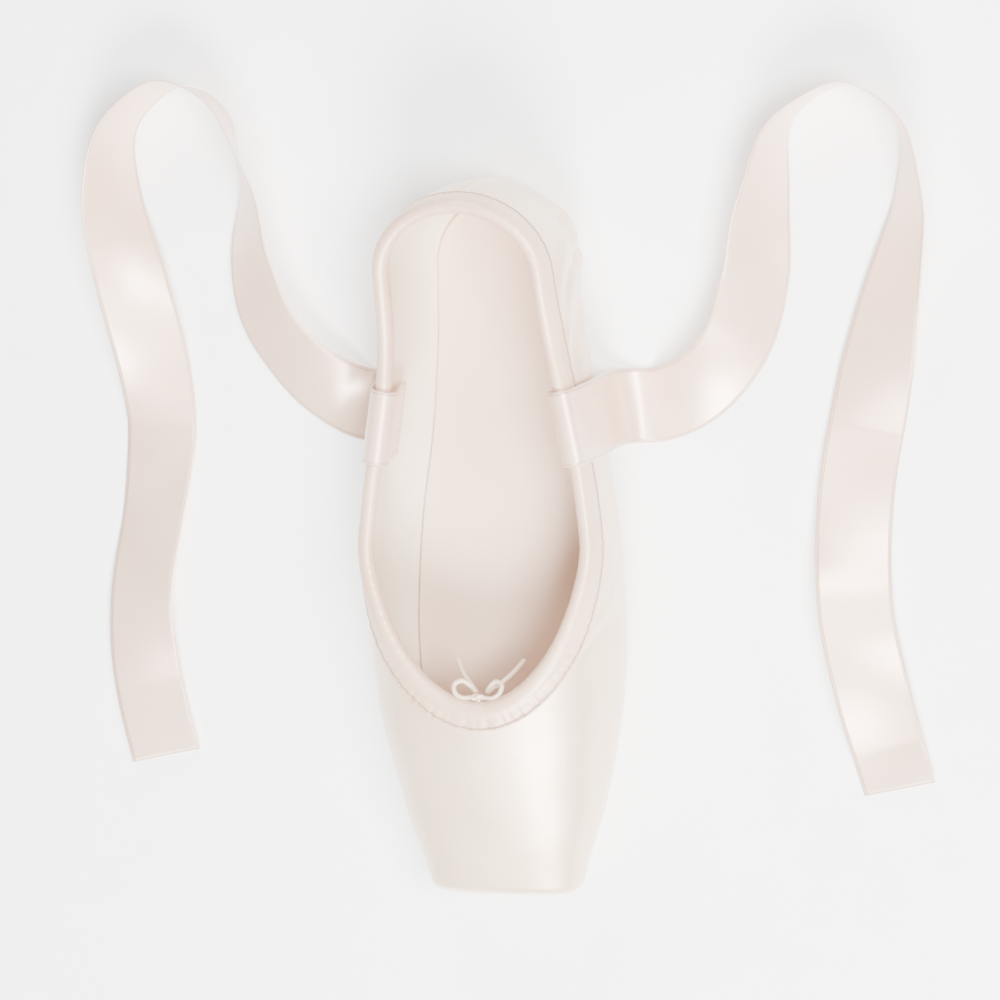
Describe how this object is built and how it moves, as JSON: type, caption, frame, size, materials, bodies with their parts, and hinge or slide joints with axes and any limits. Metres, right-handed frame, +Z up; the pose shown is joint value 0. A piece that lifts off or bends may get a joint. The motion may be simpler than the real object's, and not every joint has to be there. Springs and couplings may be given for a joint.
{
  "type": "pointe shoe",
  "caption": "Satin ballet pointe shoe with a flat toe platform, U-shaped throat, drawstring binding, thin leather outsole and loose satin ankle ribbons.",
  "frame": {"origin": "on the floor, under the middle of the shoe's length and width, ribbons and drawstring left out", "axes": "+X across the shoe, -Y towards the toe platform, +Y towards the heel, +Z up from the outsole"},
  "size_m": [0.2938, 0.2739, 0.0624],
  "materials": {
    "satin": "bright satin weave, soft broad highlights",
    "sole_leather": "matt, fine speckled grain",
    "insole_sock": "matt, woven",
    "binding_tape": "soft sheen, fine weave",
    "ribbon_satin": "bright satin weave",
    "drawstring_cotton": "matt, braided"
  },
  "bodies": {
    "root": {"upper": "satin", "outsole": "sole_leather", "insole": "insole_sock", "binding": "binding_tape", "ribbon_left": "ribbon_satin", "ribbon_right": "ribbon_satin", "drawstring_left": "drawstring_cotton", "drawstring_right": "drawstring_cotton", "drawstring_knot": "drawstring_cotton"}
  },
  "joints": []
}
